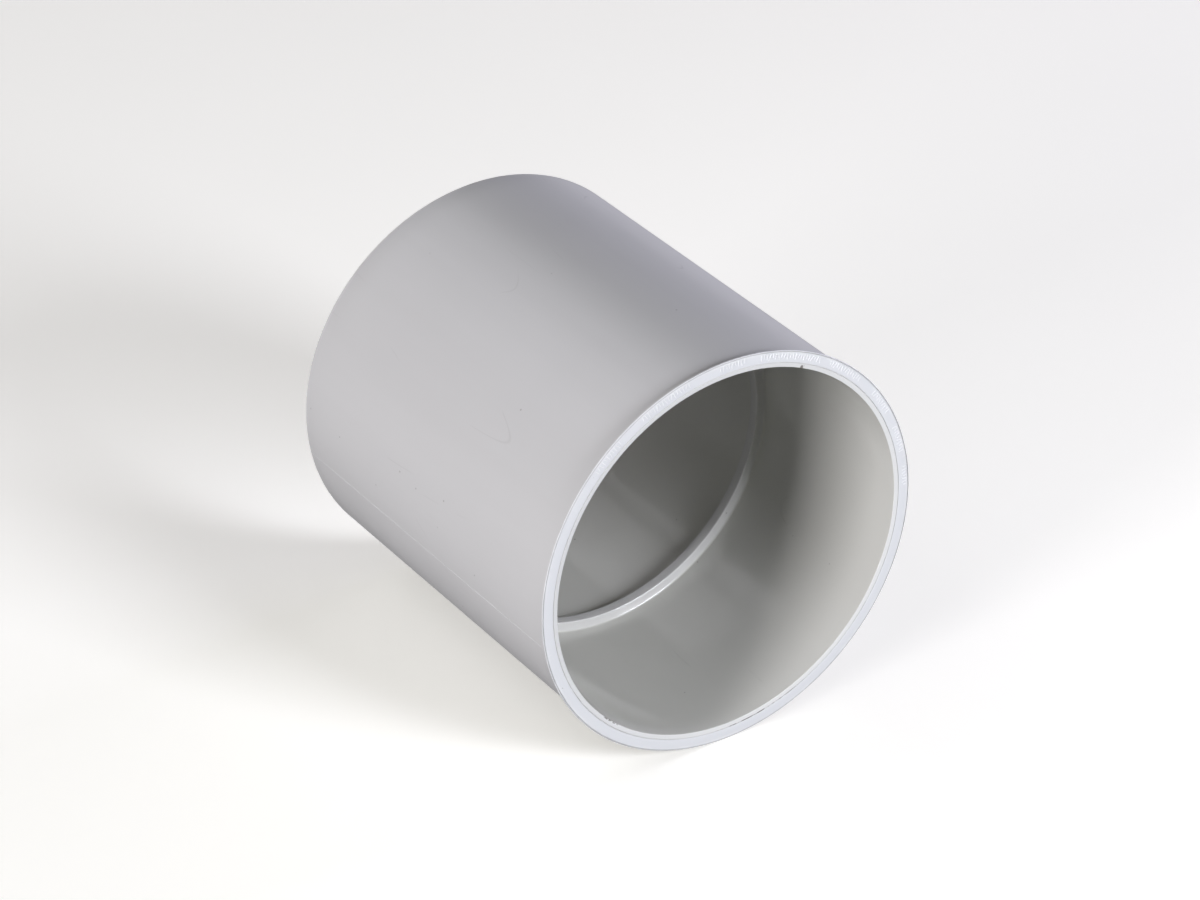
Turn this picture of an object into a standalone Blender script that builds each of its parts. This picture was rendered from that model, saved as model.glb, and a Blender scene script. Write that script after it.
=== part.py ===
"""Plain double-socket pipe coupling, DN100, moulded in one piece.

The coupling lies on its side. Its axis is the world Y axis, the lipped mouth faces -Y, and the
origin is the middle of the axis, halfway between the two end faces. Lengths are in metres.
"""

import math

import bpy

MM = 0.001

# Driving dimensions
COUPLING_LENGTH = 126.0 * MM
PIPE_DIAMETER = 110.0 * MM
WALL_THICKNESS = 3.45 * MM
MOUTH_CLEARANCE = 0.35 * MM  # radial, between the pipe and the socket at its mouth
ROOT_CLEARANCE = 0.10 * MM  # radial, where the pipe's end meets the stop
STOP_WIDTH = 3.2 * MM
STOP_HEIGHT = 3.05 * MM
STOP_OFFSET = 0.4 * MM  # how far the stop's middle is from mid-length, towards the lipped mouth
LIP_HEIGHT = 1.5 * MM  # how far the lip stands out from the barrel
LIP_LENGTH = 0.8 * MM
LEAD_IN_HEIGHT = 1.25 * MM  # radial size of the bevel inside each mouth
LEAD_IN_DEPTH = 0.5 * MM
LIP_EDGE_RADIUS = 0.25 * MM
REAR_EDGE_RADIUS = 0.45 * MM
STOP_ROOT_RADIUS = 0.7 * MM
STOP_CREST_RADIUS = 0.35 * MM

FACETS = 96
ARC_STEPS = 2
MERGE_DISTANCE = 0.01 * MM
SMOOTH_ANGLE = math.radians(30)

PVC_GREY = (0.555, 0.552, 0.542, 1.0)
PVC_ROUGHNESS = 0.3

# Sizes that follow from the driving dimensions
HALF_LENGTH = COUPLING_LENGTH / 2
HALF_STOP = STOP_WIDTH / 2
PIPE_RADIUS = PIPE_DIAMETER / 2
MOUTH_RADIUS = PIPE_RADIUS + MOUTH_CLEARANCE
ROOT_RADIUS = PIPE_RADIUS + ROOT_CLEARANCE
BARREL_RADIUS = MOUTH_RADIUS + WALL_THICKNESS
LIP_RADIUS = BARREL_RADIUS + LIP_HEIGHT
FACE_INNER_RADIUS = MOUTH_RADIUS + LEAD_IN_HEIGHT
CREST_RADIUS = ROOT_RADIUS - STOP_HEIGHT


def clear_scene():
    for old in list(bpy.data.objects):
        bpy.data.objects.remove(old)


def new_collection(name):
    collection = bpy.data.collections.new(name)
    bpy.context.scene.collection.children.link(collection)
    return collection


def arc(centre, radius, start_deg, end_deg):
    """Points of an arc in the profile's plane, as (distance from the axis, height)."""
    points = []
    for step in range(ARC_STEPS + 1):
        angle = math.radians(start_deg + (end_deg - start_deg) * step / ARC_STEPS)
        points.append((centre[0] + radius * math.cos(angle), centre[1] + radius * math.sin(angle)))
    return points


def outer_side():
    """The barrel and the lip, from the rear end down to the lipped mouth."""
    rear_edge = (BARREL_RADIUS - REAR_EDGE_RADIUS, HALF_LENGTH - REAR_EDGE_RADIUS)
    lip_back = -HALF_LENGTH + LIP_LENGTH
    lip_edge = (LIP_RADIUS - LIP_EDGE_RADIUS, -HALF_LENGTH + LIP_EDGE_RADIUS)
    points = arc(rear_edge, REAR_EDGE_RADIUS, 90, 0)
    points.append((BARREL_RADIUS, lip_back))
    points.append((LIP_RADIUS, lip_back))
    points += arc(lip_edge, LIP_EDGE_RADIUS, 0, -90)
    return points


def socket_side(end):
    """One socket, from its end face to the crest of the stop. The end is -1 for the lipped mouth."""
    root = (ROOT_RADIUS - STOP_ROOT_RADIUS, end * (HALF_STOP + STOP_ROOT_RADIUS) - STOP_OFFSET)
    crest = (CREST_RADIUS + STOP_CREST_RADIUS, end * (HALF_STOP - STOP_CREST_RADIUS) - STOP_OFFSET)
    points = [
        (FACE_INNER_RADIUS, end * HALF_LENGTH),
        (MOUTH_RADIUS, end * (HALF_LENGTH - LEAD_IN_DEPTH)),
    ]
    points += arc(root, STOP_ROOT_RADIUS, 0, -end * 90)
    points += arc(crest, STOP_CREST_RADIUS, end * 90, 180)
    return points


def wall_profile():
    """The closed outline of the wall, down the outside and back up the bore."""
    return outer_side() + socket_side(-1) + socket_side(1)[::-1]


def turned_object(name, profile, collection):
    mesh = bpy.data.meshes.new(name)
    points = [(radius, 0.0, height) for radius, height in profile]
    edges = [(index, (index + 1) % len(points)) for index in range(len(points))]
    mesh.from_pydata(points, edges, [])
    turned = bpy.data.objects.new(name, mesh)
    collection.objects.link(turned)
    screw = turned.modifiers.new("turn", "SCREW")
    screw.axis = "Z"
    screw.angle = math.radians(360)
    screw.steps = FACETS
    screw.render_steps = FACETS
    screw.use_merge_vertices = True
    screw.merge_threshold = MERGE_DISTANCE
    return turned


def make_solid_mesh(turned):
    """Keep the turned surface as the object's own mesh, shaded smooth between its real edges."""
    graph = bpy.context.evaluated_depsgraph_get()
    mesh = bpy.data.meshes.new_from_object(turned.evaluated_get(graph))
    turned.modifiers.clear()
    turned.data = mesh
    mesh.shade_smooth()
    mesh.set_sharp_from_angle(angle=SMOOTH_ANGLE)


def pvc_material():
    material = bpy.data.materials.new("pvc")
    material.use_nodes = True
    shader = material.node_tree.nodes["Principled BSDF"]
    shader.inputs["Base Color"].default_value = PVC_GREY
    shader.inputs["Roughness"].default_value = PVC_ROUGHNESS
    shader.inputs["Metallic"].default_value = 0.0
    return material


def coupling_body(collection):
    """The whole moulding: barrel, lip, two sockets and the stop between them."""
    body = turned_object("coupling_body", wall_profile(), collection)
    make_solid_mesh(body)
    body.data.materials.append(pvc_material())
    body.rotation_euler = (math.radians(-90), 0.0, 0.0)  # turns the profile's height to +Y
    return body


def main():
    clear_scene()
    collection = new_collection("pipe_coupling")
    coupling_body(collection)


main()
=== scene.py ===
"""Looks of the DN100 pipe coupling: one moulded body in grey PVC, lying on its side on a pale floor.

The coupling's axis is the world Y axis and its lipped mouth faces -Y. An outline of the wall, with
every edge radius, is turned round that axis, and the mould's own marks are added to it. Outline
points are (distance from the axis, place along the axis). Lengths are in metres.
"""

import math
from collections import namedtuple

import bmesh
import bpy
from mathutils import Matrix, Vector


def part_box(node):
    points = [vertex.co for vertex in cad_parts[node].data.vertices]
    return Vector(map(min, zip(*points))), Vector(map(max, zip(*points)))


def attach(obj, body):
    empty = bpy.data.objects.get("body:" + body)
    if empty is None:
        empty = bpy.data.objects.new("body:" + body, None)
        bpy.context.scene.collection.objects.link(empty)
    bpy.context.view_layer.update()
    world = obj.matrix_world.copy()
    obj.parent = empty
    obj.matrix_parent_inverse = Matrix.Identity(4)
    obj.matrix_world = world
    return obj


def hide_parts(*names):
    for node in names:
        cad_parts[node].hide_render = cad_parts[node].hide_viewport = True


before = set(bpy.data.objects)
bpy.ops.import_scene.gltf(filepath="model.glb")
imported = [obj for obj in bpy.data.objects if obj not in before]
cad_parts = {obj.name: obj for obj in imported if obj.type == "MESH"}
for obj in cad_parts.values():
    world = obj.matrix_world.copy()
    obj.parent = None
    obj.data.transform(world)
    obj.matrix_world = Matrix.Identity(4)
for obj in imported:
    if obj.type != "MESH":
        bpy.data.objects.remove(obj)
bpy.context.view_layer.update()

MM = 0.001

# The body's main sizes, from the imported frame
BODY_NODE = "coupling_body"
BODY_LOW, BODY_HIGH = (Vector(corner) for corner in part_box(BODY_NODE))
HALF_LENGTH = BODY_HIGH.y
LIP_RADIUS = BODY_HIGH.x

# Sizes that the frame doesn't give
LIP_HEIGHT = 1.5 * MM  # how far the lip stands out from the barrel
LIP_LENGTH = 0.8 * MM
WALL_THICKNESS = 3.45 * MM
SOCKET_TAPER = 0.25 * MM  # radial, from the mouth of a socket down to the stop
LEAD_IN_HEIGHT = 1.25 * MM  # radial size of the bevel inside each mouth
LEAD_IN_DEPTH = 0.12 * MM
STOP_WIDTH = 3.2 * MM
STOP_HEIGHT = 3.05 * MM
STOP_OFFSET = 0.4 * MM  # how far the stop's middle is from mid-length, towards the lipped mouth

BARREL_RADIUS = LIP_RADIUS - LIP_HEIGHT
MOUTH_RADIUS = BARREL_RADIUS - WALL_THICKNESS
ROOT_RADIUS = MOUTH_RADIUS - SOCKET_TAPER
CREST_RADIUS = ROOT_RADIUS - STOP_HEIGHT
BEVEL_RADIUS = MOUTH_RADIUS + LEAD_IN_HEIGHT
HALF_STOP = STOP_WIDTH / 2

# Edge radii and the fine shape of the end faces
LIP_EDGE_RADIUS = 0.16 * MM
LIP_BACK_RADIUS = 0.12 * MM
LIP_ROOT_RADIUS = 0.15 * MM
REAR_EDGE_RADIUS = 0.45 * MM
STOP_ROOT_RADIUS = 0.6 * MM
STOP_CREST_RADIUS = 0.25 * MM
MOUTH_EDGE_RADIUS = 0.15 * MM
FACE_SETBACK = 0.12 * MM  # keeps the raised marks of the front face inside the CAD's box
CROWN_WIDTH = 1.1 * MM  # the face falls away softly towards the bevel over this width
CROWN_DROP = 0.06 * MM
GROOVE_WIDTH = 0.30 * MM  # the fine grooves that the mould's joints leave in the front face
GROOVE_FLOOR_WIDTH = GROOVE_WIDTH / 3
GROOVE_DEPTH = 0.16 * MM

FRONT_FLAT = -HALF_LENGTH + FACE_SETBACK
LIP_GROOVE_RADIUS = LIP_RADIUS - LIP_EDGE_RADIUS - GROOVE_WIDTH / 2
BEVEL_GROOVE_RADIUS = BEVEL_RADIUS + GROOVE_WIDTH / 2

# Mould parting lines along the outside. All angles round the axis are in degrees from the top,
# positive towards +X, unless they say otherwise.
PARTING_ANGLES = (-101.3, 78.7)
PARTING_HEIGHT = 0.07 * MM
PARTING_WIDTH = 0.28 * MM

# Raised marks on the front face: plain bars in groups, in place of the moulded lettering
MARK_GROUPS = ((-47, -37), (-29, -13), (-4, 4), (9, 29), (33, 46), (53, 62), (68, 77), (82, 88))
MARK_PITCH = 0.95  # degrees
MARK_WIDTH = 0.34 * MM
MARK_LENGTHS = (1.9 * MM, 1.35 * MM, 1.7 * MM)
MARK_LEANS = (0.0, 14.0, -10.0, 0.0, -18.0)  # degrees off the radial line, taken in turn
MARK_OUTER_RADIUS = LIP_RADIUS - 0.75 * MM
MARK_HEIGHT = 0.11 * MM
MARK_ROOT = 0.06 * MM  # how far a bar's foot goes into the face
MARK_DRAFT = 0.06 * MM  # how much narrower a bar's top is, on each side
MARK_TOP_RADIUS = 0.04 * MM

# Mesh density
ANGLE_STEPS = 360
PARTING_REACH = 0.9  # degrees on each side of a parting line that get fine steps
PARTING_STEPS = 9
ARC_STEPS = 6
MARK_TOP_STEPS = 2
BARREL_ROWS = 16
SOCKET_ROWS = 10
STOP_ROWS = 3
CROWN_ROWS = 5
SMOOTH_ANGLE = math.radians(35)


# ---------------------------------------------------------------- outline of the wall


def arc(centre, radius, start_deg, end_deg, steps=ARC_STEPS):
    points = []
    for step in range(steps + 1):
        angle = math.radians(start_deg + (end_deg - start_deg) * step / steps)
        points.append((centre[0] + radius * math.cos(angle), centre[1] + radius * math.sin(angle)))
    return points


def straight(start, end, rows):
    """Points between start and end, without either."""
    points = []
    for row in range(1, rows):
        share = row / rows
        points.append((start[0] + (end[0] - start[0]) * share, start[1] + (end[1] - start[1]) * share))
    return points


def outer_side():
    """The barrel and the lip, from the rear end face to the front end face."""
    rear_centre = (BARREL_RADIUS - REAR_EDGE_RADIUS, HALF_LENGTH - REAR_EDGE_RADIUS)
    lip_back = -HALF_LENGTH + LIP_LENGTH
    root_centre = (BARREL_RADIUS + LIP_ROOT_RADIUS, lip_back + LIP_ROOT_RADIUS)
    back_centre = (LIP_RADIUS - LIP_BACK_RADIUS, lip_back - LIP_BACK_RADIUS)
    front_centre = (LIP_RADIUS - LIP_EDGE_RADIUS, FRONT_FLAT + LIP_EDGE_RADIUS)
    points = arc(rear_centre, REAR_EDGE_RADIUS, 90, 0)
    root = arc(root_centre, LIP_ROOT_RADIUS, 180, 270)
    points += straight(points[-1], root[0], BARREL_ROWS)
    points += root
    points += arc(back_centre, LIP_BACK_RADIUS, 90, 0)
    points += arc(front_centre, LIP_EDGE_RADIUS, 0, -90)
    return points


def groove_floor(radius, face_height):
    """The floor of a fine groove in the front face, from its outer side to its inner side."""
    floor_height = face_height + GROOVE_DEPTH
    return [
        (radius + GROOVE_FLOOR_WIDTH / 2, floor_height),
        (radius - GROOVE_FLOOR_WIDTH / 2, floor_height),
    ]


def front_face():
    """From the lip's front edge in to the bevel, with a fine groove beside each of them."""
    points = groove_floor(LIP_GROOVE_RADIUS, FRONT_FLAT)
    points.append((LIP_GROOVE_RADIUS - GROOVE_WIDTH / 2, FRONT_FLAT))
    start = BEVEL_RADIUS + GROOVE_WIDTH + CROWN_WIDTH
    for row in range(CROWN_ROWS + 1):
        share = row / CROWN_ROWS
        points.append((start - CROWN_WIDTH * share, FRONT_FLAT + CROWN_DROP * share * share))
    return points + groove_floor(BEVEL_GROOVE_RADIUS, FRONT_FLAT + CROWN_DROP)


def socket_side(end):
    """One socket, from the bevel of its mouth to the crest of the stop. The end is -1 for the front."""
    bevel_start = FRONT_FLAT + CROWN_DROP if end < 0 else HALF_LENGTH
    bevel_end = bevel_start - end * (LEAD_IN_DEPTH + MOUTH_EDGE_RADIUS)
    slope = math.degrees(math.atan2(LEAD_IN_DEPTH, LEAD_IN_HEIGHT))
    mouth_centre = (MOUTH_RADIUS + MOUTH_EDGE_RADIUS, bevel_end)
    mouth = arc(mouth_centre, MOUTH_EDGE_RADIUS, end * (90 + slope), end * 180)
    root_centre = (ROOT_RADIUS - STOP_ROOT_RADIUS, end * (HALF_STOP + STOP_ROOT_RADIUS) - STOP_OFFSET)
    root = arc(root_centre, STOP_ROOT_RADIUS, 0, -end * 90)
    crest_centre = (CREST_RADIUS + STOP_CREST_RADIUS, end * (HALF_STOP - STOP_CREST_RADIUS) - STOP_OFFSET)
    crest = arc(crest_centre, STOP_CREST_RADIUS, end * 90, end * 180)
    points = [(BEVEL_RADIUS, bevel_start)]
    points += mouth
    points += straight(mouth[-1], root[0], SOCKET_ROWS)
    points += root
    points += straight(root[-1], crest[0], STOP_ROWS)
    points += crest
    return points


def wall_outline():
    return outer_side() + front_face() + socket_side(-1) + socket_side(1)[::-1]


# ---------------------------------------------------------------- the turned body


def column_angles():
    """Angles round the axis, in degrees: even steps, with finer ones at the parting lines."""
    angles = {-180 + 360 * step / ANGLE_STEPS for step in range(ANGLE_STEPS)}
    for centre in PARTING_ANGLES:
        angles = {angle for angle in angles if abs(angle - centre) > PARTING_REACH}
        for step in range(-PARTING_STEPS, PARTING_STEPS + 1):
            angles.add(centre + PARTING_REACH * step / PARTING_STEPS)
    return sorted(angles)


def parting_ridge(angle):
    """How far the outside stands out at this angle."""
    height = 0.0
    for centre in PARTING_ANGLES:
        distance = math.radians(angle - centre) * BARREL_RADIUS
        height += PARTING_HEIGHT * math.exp(-((distance / (PARTING_WIDTH / 2)) ** 2))
    return height


def finished_mesh(name, shape):
    """Turns a bmesh into a mesh that is shaded smooth between its real edges."""
    bmesh.ops.recalc_face_normals(shape, faces=shape.faces)
    mesh = bpy.data.meshes.new(name)
    shape.to_mesh(mesh)
    shape.free()
    mesh.shade_smooth()
    mesh.set_sharp_from_angle(angle=SMOOTH_ANGLE)
    return mesh


def turned_mesh(name, outline, ridged_count):
    """Turns the closed outline round the Y axis, with ridges on its first ridged_count points."""
    shape = bmesh.new()
    columns = []
    for angle in column_angles():
        direction = Vector((math.sin(math.radians(angle)), 0.0, math.cos(math.radians(angle))))
        ridge = parting_ridge(angle)
        column = []
        for index, (radius, height) in enumerate(outline):
            if index < ridged_count:
                radius = radius + ridge
            column.append(shape.verts.new(direction * radius + Vector((0.0, height, 0.0))))
        columns.append(column)
    for index, column in enumerate(columns):
        following = columns[(index + 1) % len(columns)]
        for row in range(len(outline)):
            next_row = (row + 1) % len(outline)
            shape.faces.new((column[row], column[next_row], following[next_row], following[row]))
    return finished_mesh(name, shape)


def new_object(name, mesh, material):
    made = bpy.data.objects.new(name, mesh)
    bpy.context.scene.collection.objects.link(made)
    mesh.materials.append(material)
    return made


def coupling_shell(material):
    """The body. Its parting ridges stop where the arc of the lip's front edge begins."""
    front_edge_count = ARC_STEPS + 1
    ridged_count = len(outer_side()) - front_edge_count
    mesh = turned_mesh("coupling_shell", wall_outline(), ridged_count)
    return new_object("coupling_shell", mesh, material)


def mark_bar(shape, length):
    """Adds one raised bar with sloping sides, standing along Z with its top facing -Y."""
    verts = bmesh.ops.create_cube(shape, size=1.0)["verts"]
    for vert in verts:
        draft = MARK_DRAFT if vert.co.y < 0 else 0.0
        vert.co.x = math.copysign(MARK_WIDTH / 2 - draft, vert.co.x)
        vert.co.z = math.copysign(length / 2 - draft, vert.co.z)
        vert.co.y *= MARK_HEIGHT + MARK_ROOT
    edges = dict.fromkeys(edge for vert in verts for edge in vert.link_edges)
    top_edges = [edge for edge in edges if all(vert.co.y < 0 for vert in edge.verts)]
    bmesh.ops.bevel(
        shape,
        geom=top_edges,
        offset=MARK_TOP_RADIUS,
        segments=MARK_TOP_STEPS,
        affect="EDGES",
    )


def place_bar(shape, bar, angle, length, lean):
    """Leans the bar, moves it out to the marks' ring and turns it round the axis to its angle."""
    height = FRONT_FLAT + (MARK_ROOT - MARK_HEIGHT) / 2
    bmesh.ops.rotate(shape, verts=bar, matrix=Matrix.Rotation(math.radians(lean), 3, "Y"))
    bmesh.ops.translate(shape, verts=bar, vec=(0.0, height, MARK_OUTER_RADIUS - length / 2))
    bmesh.ops.rotate(shape, verts=bar, matrix=Matrix.Rotation(math.radians(angle), 3, "Y"))


def put_in_order(elements, place):
    """Sorts a bmesh's vertices or faces by place, as a bevel makes them in a different order each run."""
    for index, element in enumerate(sorted(elements, key=place)):
        element.index = index
    elements.sort()


def mould_marks(material):
    """The groups of plain bars on the front face."""
    shape = bmesh.new()
    for group, (start, end) in enumerate(MARK_GROUPS):
        for index in range(int((end - start) / MARK_PITCH) + 1):
            before = set(shape.verts)
            length = MARK_LENGTHS[(index + group) % len(MARK_LENGTHS)]
            lean = MARK_LEANS[(index + group) % len(MARK_LEANS)]
            mark_bar(shape, length)
            bar = [vert for vert in shape.verts if vert not in before]
            place_bar(shape, bar, start + index * MARK_PITCH, length, lean)
    put_in_order(shape.verts, lambda vert: vert.co[:])
    put_in_order(shape.faces, lambda face: face.calc_center_median()[:])
    return new_object("mould_marks", finished_mesh("mould_marks", shape), material)


# ---------------------------------------------------------------- materials

# Colours
PVC_LIGHT = (0.575, 0.572, 0.562, 1.0)
PVC_DARK = (0.535, 0.532, 0.522, 1.0)
FACE_WHITE = (0.665, 0.673, 0.69, 1.0)  # the end face is duller and paler than the smooth sides
BEVEL_WHITE = (0.655, 0.655, 0.645, 1.0)
BORE_GREY = (0.56, 0.558, 0.52, 1.0)  # the bore is a little warmer than the outside
# pale grey for rubbed wear, and for the painted highlights on the lip's rim and the parting lines
RUBBED_AND_HIGHLIGHT_WHITE = (0.76, 0.76, 0.76, 1.0)
DARK_GREY = (0.20, 0.19, 0.175, 1.0)
DIRT_BROWN = (0.10, 0.085, 0.07, 1.0)
FLOOR_LIGHT = (0.88, 0.87, 0.82, 1.0)
FLOOR_DARK = (0.86, 0.85, 0.80, 1.0)

# Shine
BARREL_ROUGHNESS = 0.30
BORE_ROUGHNESS = 0.13
BEVEL_ROUGHNESS = 0.55
FACE_ROUGHNESS = 0.50
ROUGHNESS_CHANGE = 0.015
SCUFF_ROUGHNESS = 0.15  # added where the surface is scratched or rubbed
PVC_IOR = 1.53
FLOOR_ROUGHNESS = 0.8
FLOOR_GLOW = 0.38  # keeps the floor nearly white

# Pattern scales, in repeats per metre
FLOW_SCALE = (160.0, 9.0, 160.0)
CLOUD_SCALE = 22.0
SHINE_SCALE = 80.0
SPECK_SCALE = 190.0
SCRATCH_SCALE = (52.0, 9.0, 34.0)
SCRATCH_PATCH_SCALE = 38.0
RUB_SCALE = 140.0
DIRT_SCALE = 900.0
RIPPLE_SCALE = 150.0
GRAIN_SCALE = 900.0
FACE_GRAIN_SCALE = 1500.0
FLOOR_SCALE = 12.0

SPECK_SIZE = 0.055  # of a cell's width
EMPTY_CELLS = 0.45  # share of the cells that hold no speck
SCRATCH_WIDTH = 0.003
NOISE_MIDDLE = 0.5

# The values of a noise pattern between which its look fades in
SHINE_PATCHES = (0.3, 0.7)
SCRATCH_PATCHES = (0.63, 0.69)
RUB_PATCHES = (0.38, 0.66)
DIRT_PATCHES = (0.42, 0.58)

# The two sets of scratches, as (turn, shift) of their pattern
SCRATCH_SETS = (
    ((0.0, 0.5, 0.3), (0.3, 0.1, 0.0)),
    ((0.4, 0.0, -0.6), (0.0, 0.7, 0.2)),
)

# Depths of the fine relief
RIPPLE_DEPTH = 0.006 * MM
GRAIN_DEPTH = 0.0012 * MM
FACE_GRAIN_DEPTH = 0.012 * MM
SCRATCH_DEPTH = 0.003 * MM

# Dirt, as (angle from the bottom, positive towards -X, reach on each side, distance from the axis, width)
DIRT_ARCS = (
    (-12.0, 20.0, BEVEL_RADIUS + 0.12 * MM, 0.22 * MM),
    (44.0, 4.5, MOUTH_RADIUS + 0.15 * MM, 0.28 * MM),
    (-156.0, 0.9, MOUTH_RADIUS + 0.4 * MM, 0.8 * MM),
)
DIRT_DEPTH = 1.2 * MM  # dirt only shows this close to the front face
DIRT_STRENGTH = 3.0  # fills out the arcs before they are cut off at full cover

# Painted shade, partly dust, in the two grooves, as (distance from the axis, strength)
GROOVE_SHADES = ((LIP_GROOVE_RADIUS, 0.45), (BEVEL_GROOVE_RADIUS, 0.12))

# Where a look starts and where it is full, as distances from its edge or from the front flat
GROOVE_SHADE_FADE = (3 * GROOVE_DEPTH, 2 * GROOVE_DEPTH)
RAISED_FADE = (-MARK_HEIGHT / 3, -MARK_HEIGHT * 0.9)
# the rim's paler patch is partly rubbed wear, partly painted highlight
RIM_WEAR_AND_HIGHLIGHT_FADE = (-1.3 * MM, -0.8 * MM)
REAR_WEAR_FADE = (-1.2 * MM, -0.4 * MM)
REAR_WEAR_LENGTH_FADE = (-1.6 * MM, -0.3 * MM)

# How much of each layer of colour covers what is below it
FACE_COVER = 0.9
BEVEL_COVER = 0.9
RAISED_COVER = 0.9
WEAR_AND_RIM_HIGHLIGHT_COVER = 0.35
# the parting lines' pale band is a painted highlight
PARTING_HIGHLIGHT_COVER = 0.35
SCRATCH_COVER = 0.12
SPECK_COVER = 0.55
DIRT_COVER = 0.85

# What the streaks and the clouds each add to the change between dark and light grey
STREAK_SHARE = 0.6
CLOUD_SHARE = 0.5

Zones = namedtuple("Zones", "radius along bottom_angle face bevel bore")


class Nodes:
    """Short forms for the shader nodes that the materials and the world here use."""

    def __init__(self, owner, shader, coordinates):
        owner.use_nodes = True
        self.tree = owner.node_tree
        self.inputs = self.tree.nodes[shader].inputs
        self.place = self.make("ShaderNodeTexCoord").outputs[coordinates]

    def make(self, kind, **settings):
        made = self.tree.nodes.new(kind)
        for name, value in settings.items():
            setattr(made, name, value)
        return made

    def feed(self, socket, value):
        if isinstance(value, bpy.types.NodeSocket):
            self.tree.links.new(value, socket)
        else:
            socket.default_value = value

    def compute(self, operation, *values):
        made = self.make("ShaderNodeMath", operation=operation)
        for socket, value in zip(made.inputs, values):
            self.feed(socket, value)
        return made.outputs["Value"]

    def product(self, first, *others):
        for other in others:
            first = self.compute("MULTIPLY", first, other)
        return first

    def step(self, value, start, end, low=0.0, high=1.0):
        """Goes smoothly from low at start to high at end."""
        made = self.make("ShaderNodeMapRange", interpolation_type="SMOOTHSTEP")
        names = ("Value", "From Min", "From Max", "To Min", "To Max")
        for name, given in zip(names, (value, start, end, low, high)):
            self.feed(made.inputs[name], given)
        return made.outputs["Result"]

    def near(self, value, edge, start, full):
        """Like step, from 0 to 1, with both ends given as distances from an edge."""
        return self.step(value, edge + start, edge + full)

    def band(self, value, centre, half_width):
        """1 at the centre, falling to 0 at half_width on each side."""
        distance = self.compute("ABSOLUTE", self.compute("SUBTRACT", value, centre))
        return self.step(distance, 0.0, half_width, 1.0, 0.0)

    def split(self, vector):
        parts = self.make("ShaderNodeSeparateXYZ")
        self.feed(parts.inputs["Vector"], vector)
        return parts.outputs

    def mapped(self, scale=(1.0, 1.0, 1.0), turn=(0.0, 0.0, 0.0), shift=(0.0, 0.0, 0.0)):
        made = self.make("ShaderNodeMapping")
        self.feed(made.inputs["Vector"], self.place)
        made.inputs["Scale"].default_value = scale
        made.inputs["Rotation"].default_value = turn
        made.inputs["Location"].default_value = shift
        return made.outputs["Vector"]

    def noise(self, scale=1.0, detail=2.0, place=None):
        made = self.make("ShaderNodeTexNoise")
        self.feed(made.inputs["Vector"], place or self.place)
        made.inputs["Scale"].default_value = scale
        made.inputs["Detail"].default_value = detail
        return made.outputs["Fac"]

    def mix(self, share, first, second):
        made = self.make("ShaderNodeMixRGB")
        for socket, value in zip(made.inputs, (share, first, second)):
            self.feed(socket, value)
        return made.outputs["Color"]

    def blend(self, share, first, second):
        """Like mix, for plain values."""
        made = self.make("ShaderNodeMix", data_type="FLOAT")
        for socket, value in zip(made.inputs, (share, None, first, second)):
            if value is not None:
                self.feed(socket, value)
        return made.outputs["Result"]

    def bump(self, height, distance, normal=None):
        made = self.make("ShaderNodeBump")
        self.feed(made.inputs["Height"], height)
        made.inputs["Distance"].default_value = distance
        if normal:
            self.feed(made.inputs["Normal"], normal)
        return made.outputs["Normal"]


def body_zones(nodes):
    """Where a point is on the coupling, and how much of each zone of the surface it belongs to."""
    parts = nodes.split(nodes.place)
    across, along, up = parts["X"], parts["Y"], parts["Z"]
    squares = nodes.compute("ADD", nodes.compute("POWER", across, 2.0), nodes.compute("POWER", up, 2.0))
    radius = nodes.compute("SQRT", squares)
    bottom = nodes.compute("ARCTAN2", nodes.product(across, -1.0), nodes.product(up, -1.0))
    bottom_angle = nodes.compute("DEGREES", bottom)
    past_bevel = nodes.step(radius, BEVEL_RADIUS, BEVEL_RADIUS + GROOVE_WIDTH)
    in_front = nodes.near(along, FRONT_FLAT, LIP_EDGE_RADIUS, LIP_EDGE_RADIUS / 2)
    face = nodes.product(past_bevel, in_front)
    bore = nodes.step(radius, MOUTH_RADIUS + MOUTH_EDGE_RADIUS, MOUTH_RADIUS)
    inside_bevel = nodes.step(radius, BEVEL_RADIUS + GROOVE_WIDTH, BEVEL_RADIUS)
    bevel = nodes.product(inside_bevel, nodes.compute("SUBTRACT", 1.0, bore))
    return Zones(radius, along, bottom_angle, face, bevel, bore)


def moulding_flow(nodes):
    """Faint streaks along the axis, where the plastic ran into the mould, and slow cloudy change."""
    streaks = nodes.noise(detail=3.0, place=nodes.mapped(FLOW_SCALE))
    clouds = nodes.noise(CLOUD_SCALE)
    return nodes.compute("ADD", nodes.product(streaks, STREAK_SHARE), nodes.product(clouds, CLOUD_SHARE))


def fine_specks(nodes):
    """Tiny dark grains in the plastic, in about half of the pattern's cells."""
    cells = nodes.make("ShaderNodeTexVoronoi")
    nodes.feed(cells.inputs["Vector"], nodes.place)
    cells.inputs["Scale"].default_value = SPECK_SCALE
    chance = nodes.split(cells.outputs["Color"])["X"]
    size = nodes.step(chance, EMPTY_CELLS, 1.0, 0.0, SPECK_SIZE)
    return nodes.compute("LESS_THAN", cells.outputs["Distance"], size)


def hair_scratches(nodes, turn, shift):
    """Thin, gently curved hairlines in a few patches."""
    wander = nodes.noise(detail=0.0, place=nodes.mapped(SCRATCH_SCALE, turn, shift))
    patches = nodes.noise(SCRATCH_PATCH_SCALE, detail=1.0, place=nodes.mapped(turn=turn, shift=shift))
    lines = nodes.band(wander, NOISE_MIDDLE, SCRATCH_WIDTH)
    return nodes.product(lines, nodes.step(patches, *SCRATCH_PATCHES))


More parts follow.
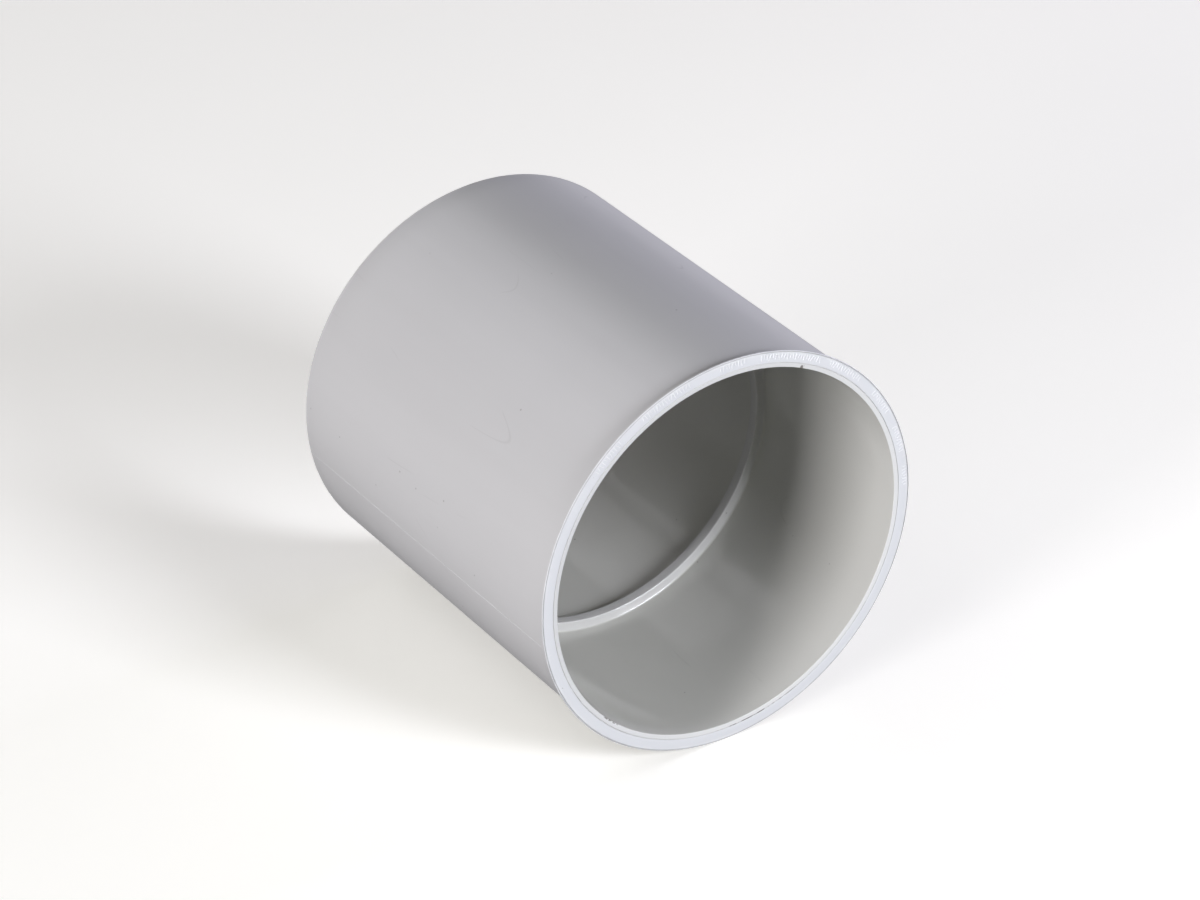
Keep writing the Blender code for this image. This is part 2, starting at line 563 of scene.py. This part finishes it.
def trapped_dirt(nodes, zones):
    """Dark traces caught beside the bevel, broken up along each arc."""
    near_front = nodes.near(zones.along, FRONT_FLAT, DIRT_DEPTH, DIRT_DEPTH / 2)
    broken = nodes.step(nodes.noise(DIRT_SCALE), *DIRT_PATCHES)
    total = 0.0
    for angle, reach, radius, width in DIRT_ARCS:
        arc_share = nodes.product(
            nodes.band(zones.bottom_angle, angle, reach),
            nodes.band(zones.radius, radius, width),
        )
        total = nodes.compute("ADD", total, arc_share)
    return nodes.compute("MINIMUM", nodes.product(total, near_front, broken, DIRT_STRENGTH), 1.0)


def edge_wear_and_rim_highlight(nodes, zones):
    """Paler patches along the lip's rim, partly rubbed wear and partly painted highlight, and rubbed
    patches along the rear end's edge.
    """
    # the rim's patch: partly rubbed wear, partly painted highlight
    rim = nodes.product(
        nodes.near(zones.radius, LIP_RADIUS, *RIM_WEAR_AND_HIGHLIGHT_FADE),
        nodes.near(zones.along, FRONT_FLAT, LIP_LENGTH, 0.0),
    )
    rear = nodes.product(
        nodes.near(zones.radius, BARREL_RADIUS, *REAR_WEAR_FADE),
        nodes.near(zones.along, HALF_LENGTH, *REAR_WEAR_LENGTH_FADE),
    )
    rubbed = nodes.step(nodes.noise(RUB_SCALE, detail=4.0), *RUB_PATCHES)
    return nodes.product(nodes.compute("MAXIMUM", rim, rear), rubbed)


def parting_highlight(nodes, zones):
    """Painted highlight along the tops of the mould's parting lines: a band slightly paler than the
    barrel round them. The two lines are opposite each other, so that their angles from the bottom are the
    same pair."""
    outside = nodes.step(zones.radius, BARREL_RADIUS - PARTING_WIDTH, BARREL_RADIUS)
    reach = math.degrees(PARTING_WIDTH / BARREL_RADIUS)
    lines = 0.0
    for angle in PARTING_ANGLES:
        lines = nodes.compute("ADD", lines, nodes.band(zones.bottom_angle, angle, reach))
    return nodes.product(outside, lines)


def groove_shade(nodes, zones):
    """Painted shade, partly dust, that darkens the two fine grooves of the front face."""
    near_front = nodes.near(zones.along, FRONT_FLAT, *GROOVE_SHADE_FADE)
    lines = 0.0
    for radius, strength in GROOVE_SHADES:
        line = nodes.product(nodes.band(zones.radius, radius, GROOVE_WIDTH), strength)
        lines = nodes.compute("ADD", lines, line)
    return nodes.product(lines, near_front)


def pvc_colour(nodes, zones, scratches, wear_and_rim_highlight):
    """Grey with the moulding's flow in it, and the other looks laid over it one by one."""
    raised = nodes.near(zones.along, FRONT_FLAT, *RAISED_FADE)
    off_stop = nodes.step(zones.radius, ROOT_RADIUS - STOP_ROOT_RADIUS, ROOT_RADIUS)
    layers = (
        (nodes.product(zones.bore, off_stop), BORE_GREY),
        (nodes.product(zones.face, FACE_COVER), FACE_WHITE),
        (nodes.product(zones.bevel, BEVEL_COVER), BEVEL_WHITE),
        # rubbed wear, with painted highlight on the lip's rim
        (nodes.product(wear_and_rim_highlight, WEAR_AND_RIM_HIGHLIGHT_COVER), RUBBED_AND_HIGHLIGHT_WHITE),
        # painted highlight along the parting ridges
        (nodes.product(parting_highlight(nodes, zones), PARTING_HIGHLIGHT_COVER), RUBBED_AND_HIGHLIGHT_WHITE),
        (nodes.product(raised, RAISED_COVER), RUBBED_AND_HIGHLIGHT_WHITE),
        # painted shade, partly dust, along the two grooves
        (groove_shade(nodes, zones), DARK_GREY),
        (nodes.product(scratches, SCRATCH_COVER), DARK_GREY),
        (nodes.product(fine_specks(nodes), SPECK_COVER), DARK_GREY),
        (nodes.product(trapped_dirt(nodes, zones), DIRT_COVER), DIRT_BROWN),
    )
    colour = nodes.mix(moulding_flow(nodes), PVC_DARK, PVC_LIGHT)
    for share, layer in layers:
        colour = nodes.mix(share, colour, layer)
    return colour


def pvc_roughness(nodes, zones, scratches, wear_and_rim_highlight):
    """The bore is the shiniest, then the barrel. The bevel, the end face and the scuffs are duller."""
    patches = nodes.noise(SHINE_SCALE, detail=1.0)
    change = nodes.step(patches, *SHINE_PATCHES, -ROUGHNESS_CHANGE, ROUGHNESS_CHANGE)
    roughness = nodes.blend(zones.bore, BARREL_ROUGHNESS, BORE_ROUGHNESS)
    roughness = nodes.blend(zones.bevel, roughness, BEVEL_ROUGHNESS)
    roughness = nodes.blend(zones.face, roughness, FACE_ROUGHNESS)
    scuffs = nodes.product(nodes.compute("MAXIMUM", scratches, wear_and_rim_highlight), SCUFF_ROUGHNESS)
    return nodes.compute("ADD", nodes.compute("ADD", roughness, change), scuffs)


def pvc_relief(nodes, zones, scratches):
    """Slow ripples, fine grain that is coarser on the end face, and the scratches."""
    ripple = nodes.bump(nodes.noise(RIPPLE_SCALE, detail=0.0), RIPPLE_DEPTH)
    grain = nodes.bump(nodes.noise(GRAIN_SCALE, detail=1.0), GRAIN_DEPTH, ripple)
    face_height = nodes.product(nodes.noise(FACE_GRAIN_SCALE), zones.face)
    face_grain = nodes.bump(face_height, FACE_GRAIN_DEPTH, grain)
    return nodes.bump(nodes.product(scratches, -1.0), SCRATCH_DEPTH, face_grain)


def pvc_material():
    material = bpy.data.materials.new("grey_pvc")
    nodes = Nodes(material, "Principled BSDF", "Object")
    zones = body_zones(nodes)
    scratch_sets = [hair_scratches(nodes, turn, shift) for turn, shift in SCRATCH_SETS]
    scratches = nodes.compute("MAXIMUM", *scratch_sets)
    wear_and_rim_highlight = edge_wear_and_rim_highlight(nodes, zones)
    nodes.feed(nodes.inputs["Base Color"], pvc_colour(nodes, zones, scratches, wear_and_rim_highlight))
    nodes.feed(nodes.inputs["Roughness"], pvc_roughness(nodes, zones, scratches, wear_and_rim_highlight))
    nodes.feed(nodes.inputs["Normal"], pvc_relief(nodes, zones, scratches))
    nodes.inputs["IOR"].default_value = PVC_IOR
    return material


def floor_material():
    material = bpy.data.materials.new("pale_floor")
    nodes = Nodes(material, "Principled BSDF", "Object")
    nodes.feed(nodes.inputs["Base Color"], nodes.mix(nodes.noise(FLOOR_SCALE), FLOOR_DARK, FLOOR_LIGHT))
    nodes.inputs["Roughness"].default_value = FLOOR_ROUGHNESS
    nodes.inputs["Emission Color"].default_value = FLOOR_LIGHT
    nodes.inputs["Emission Strength"].default_value = FLOOR_GLOW
    return material


# ---------------------------------------------------------------- floor, lights and camera

FLOOR_SIZE = 8.0
LIGHT_DISTANCE = 1.6
NEUTRAL = (0.975, 0.96, 1.0)
WARM = (0.96, 1.0, 0.84)
COOL = (0.90, 0.915, 1.0)
COOLEST = (0.78, 0.76, 1.0)

# Softboxes, as (name, azimuth, elevation, size, power, colour)
LIGHTS = (
    ("key", -75, 6, 0.5, 25.6, NEUTRAL),
    ("front", 15, 25, 0.5, 23.6, COOL),
    ("front_low", 8, 6, 0.5, 3.6, WARM),
    ("left_high", -90, 50, 0.9, 2.8, NEUTRAL),
    ("rear_left", -135, 50, 0.9, 2.0, NEUTRAL),
    ("rear", 180, 50, 0.9, 1.3, NEUTRAL),
    ("right", 90, 6, 0.5, 17.5, COOLEST),
)

# The world's pale zone. The fades are over a direction's height, or over how far it points to
# BACKDROP_AZIMUTH, and both of these go from -1 to 1.
WORLD_STRENGTH = 0.02
BACKDROP_AZIMUTH = 136.0
BACKDROP_FRONT = 0.13
BACKDROP_REAR = 0.42
BACKDROP_FADE = (0.2, 0.7)
HORIZON_FADE = (0.02, -0.06)
DEEP_FADE = (-0.5, -0.25)
DEEP_SHARE = 0.3  # what is left of the zone's light far below the horizon

CAMERA_AZIMUTH = -33.575
CAMERA_ELEVATION = 30.94
CAMERA_DISTANCE = 1.2225
CAMERA_LENS = 130.99
CAMERA_TARGET = Vector((0.0001, 0.0006, 0.0010))


def floor():
    mesh = bpy.data.meshes.new("floor")
    shape = bmesh.new()
    bmesh.ops.create_grid(shape, x_segments=1, y_segments=1, size=FLOOR_SIZE / 2)
    bmesh.ops.translate(shape, verts=shape.verts, vec=(0.0, 0.0, BODY_LOW.z))
    shape.to_mesh(mesh)
    shape.free()
    made = new_object("floor", mesh, floor_material())
    made.visible_diffuse = False  # the world's pale zone lights the coupling from below instead
    made.visible_glossy = False


def direction_from(azimuth, elevation):
    """Unit vector at an azimuth from the -Y axis, positive towards +X, and an elevation, in degrees."""
    turn, rise = math.radians(azimuth), math.radians(elevation)
    return Vector((math.sin(turn) * math.cos(rise), -math.cos(turn) * math.cos(rise), math.sin(rise)))


def soft_light(name, azimuth, elevation, size, power, colour):
    """A square softbox at LIGHT_DISTANCE, facing the coupling."""
    data = bpy.data.lights.new(name, "AREA")
    data.shape = "SQUARE"
    data.size = size
    data.energy = power
    data.color = colour
    light = bpy.data.objects.new(name, data)
    bpy.context.scene.collection.objects.link(light)
    towards = direction_from(azimuth, elevation)
    light.location = towards * LIGHT_DISTANCE
    light.rotation_euler = towards.to_track_quat("Z", "Y").to_euler()


def camera():
    back = direction_from(CAMERA_AZIMUTH, CAMERA_ELEVATION)
    data = bpy.data.cameras.new("camera")
    data.lens = CAMERA_LENS
    made = bpy.data.objects.new("camera", data)
    bpy.context.scene.collection.objects.link(made)
    made.location = CAMERA_TARGET + back * CAMERA_DISTANCE
    made.rotation_euler = back.to_track_quat("Z", "Y").to_euler()
    bpy.context.scene.camera = made


def world_light():
    """Dim all round, with a paler zone just below the horizon in place of the floor, which neither
    lights the coupling nor shows in it. The zone is brightest behind the coupling."""
    world = bpy.data.worlds.new("studio")
    nodes = Nodes(world, "Background", "Generated")
    parts = nodes.split(nodes.place)
    below = nodes.step(parts["Z"], *HORIZON_FADE)
    shallow = nodes.step(parts["Z"], *DEEP_FADE, DEEP_SHARE, 1.0)
    rear = direction_from(BACKDROP_AZIMUTH, 0.0)
    rearward = nodes.compute("ADD", nodes.product(parts["X"], rear.x), nodes.product(parts["Y"], rear.y))
    backdrop = nodes.step(rearward, *BACKDROP_FADE, BACKDROP_FRONT, BACKDROP_REAR)
    glow = nodes.product(backdrop, below, shallow)
    nodes.inputs["Color"].default_value = (*NEUTRAL, 1.0)
    nodes.feed(nodes.inputs["Strength"], nodes.compute("ADD", glow, WORLD_STRENGTH))
    bpy.context.scene.world = world


def studio():
    """A key from the left, a cool light in front for the end face and the bore, one from the right
    for the far side, and weaker ones that shape the top."""
    world_light()
    for light in LIGHTS:
        soft_light(*light)


pvc = pvc_material()
body = coupling_shell(pvc)
marks = mould_marks(pvc)
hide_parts(BODY_NODE)
for piece in (body, marks):
    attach(piece, "root")
floor()
studio()
camera()
bpy.context.scene.view_settings.view_transform = "Standard"
